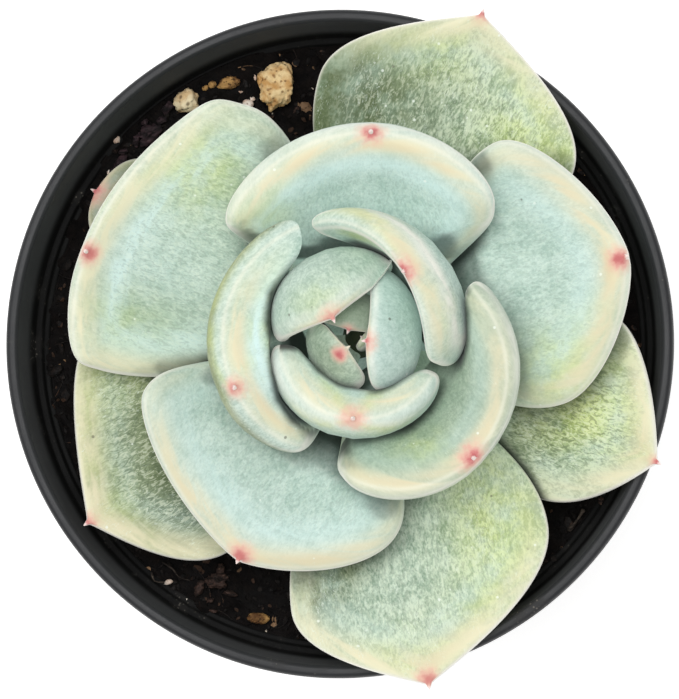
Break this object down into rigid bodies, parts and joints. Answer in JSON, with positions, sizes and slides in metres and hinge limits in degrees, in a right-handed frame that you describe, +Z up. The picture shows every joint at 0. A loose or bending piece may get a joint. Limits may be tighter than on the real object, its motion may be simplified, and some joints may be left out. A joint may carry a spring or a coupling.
{
  "type": "potted bikachao echeveria",
  "caption": "Small echeveria rosette with cupped fleshy leaves, growing in a round black nursery pot of potting mix.",
  "frame": {"origin": "centre of the pot's flat underside, on the surface that the pot stands on", "axes": "+Z up along the pot's axis, +X to the right and +Y to the top of the picture, which looks down on the rosette"},
  "size_m": [0.09, 0.0911, 0.1006],
  "materials": {
    "pot_plastic": "black polypropylene, worn grey at the lip",
    "potting_mix": "dark damp potting mix with fine crumbs",
    "stem": "short green-brown succulent stem",
    "leaf_young": "fleshy blue-green leaf with a powdery bloom and a peach margin",
    "leaf_middle": "fleshy pale green leaf with a powdery bloom and a cream margin",
    "leaf_old": "fleshy olive green leaf with a rubbed powdery bloom",
    "pumice_tan": "tan pumice",
    "pumice_cream": "cream pumice",
    "bark": "dark composted bark",
    "wood_brown": "brown wood and bark crumb",
    "twig": "grey brown twig"
  },
  "bodies": {
    "root": {"pot": "pot_plastic", "potting_mix": "potting_mix", "stem": "stem", "leaf_01": "leaf_young", "leaf_02": "leaf_young", "leaf_03": "leaf_young", "leaf_04": "leaf_young", "leaf_05": "leaf_young", "leaf_06": "leaf_young", "leaf_07": "leaf_young", "leaf_08": "leaf_young", "leaf_09": "leaf_young", "leaf_10": "leaf_middle", "leaf_11": "leaf_middle", "leaf_12": "leaf_middle", "leaf_13": "leaf_middle", "leaf_14": "leaf_old", "leaf_15": "leaf_old", "leaf_16": "leaf_old", "leaf_17": "leaf_old", "leaf_18": "leaf_old", "pumice_large": "pumice_tan", "chip_tan": "pumice_tan", "grain_tan": "pumice_tan", "pumice_small": "pumice_cream", "bark_large": "bark", "bark_middle": "bark", "bark_small": "bark", "bark_speckled": "wood_brown", "wood_crumb": "wood_brown", "grain_brown": "wood_brown", "twig_right": "twig", "twig_low": "twig"}
  },
  "joints": []
}
